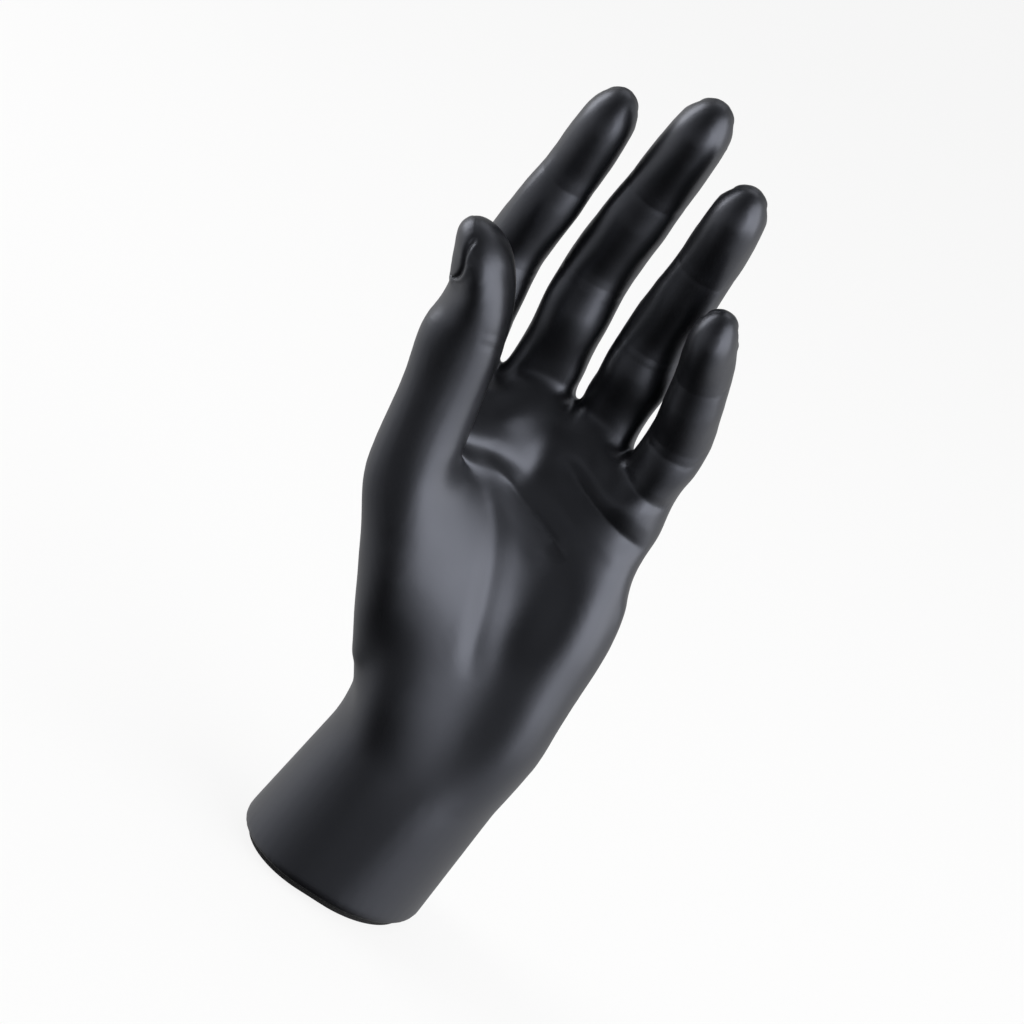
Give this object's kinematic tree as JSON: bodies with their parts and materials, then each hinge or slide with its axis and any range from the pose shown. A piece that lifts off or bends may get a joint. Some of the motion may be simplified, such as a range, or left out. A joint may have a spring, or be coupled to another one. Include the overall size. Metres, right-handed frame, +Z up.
{
  "type": "mannequin hand ring holder",
  "caption": "Upright mannequin left hand on its cut wrist that holds rings on its fingers and bracelets on its wrist.",
  "frame": {"origin": "middle of the pad's underside, on the surface that the hand stands on", "axes": "+Z up along the hand, -Y the way the palm faces, -X the thumb's side"},
  "size_m": [0.0844, 0.0484, 0.2191],
  "materials": {
    "shell": "moulded shell sprayed satin black",
    "board": "raw medium-density fibreboard",
    "cap": "finely textured moulded black",
    "fasteners": "bright zinc-plated steel",
    "weight": "turned bar, lightly oiled",
    "pad": "closed-cell foam sheet with a fine grain"
  },
  "bodies": {
    "root": {"hand_body": "shell", "mouth_ring": "board", "base_cap": "cap", "cap_screws": "fasteners", "steel_weight": "weight", "weight_bolt": "fasteners", "weight_washer": "fasteners", "weight_nut": "fasteners", "base_pad": "pad"}
  },
  "joints": []
}
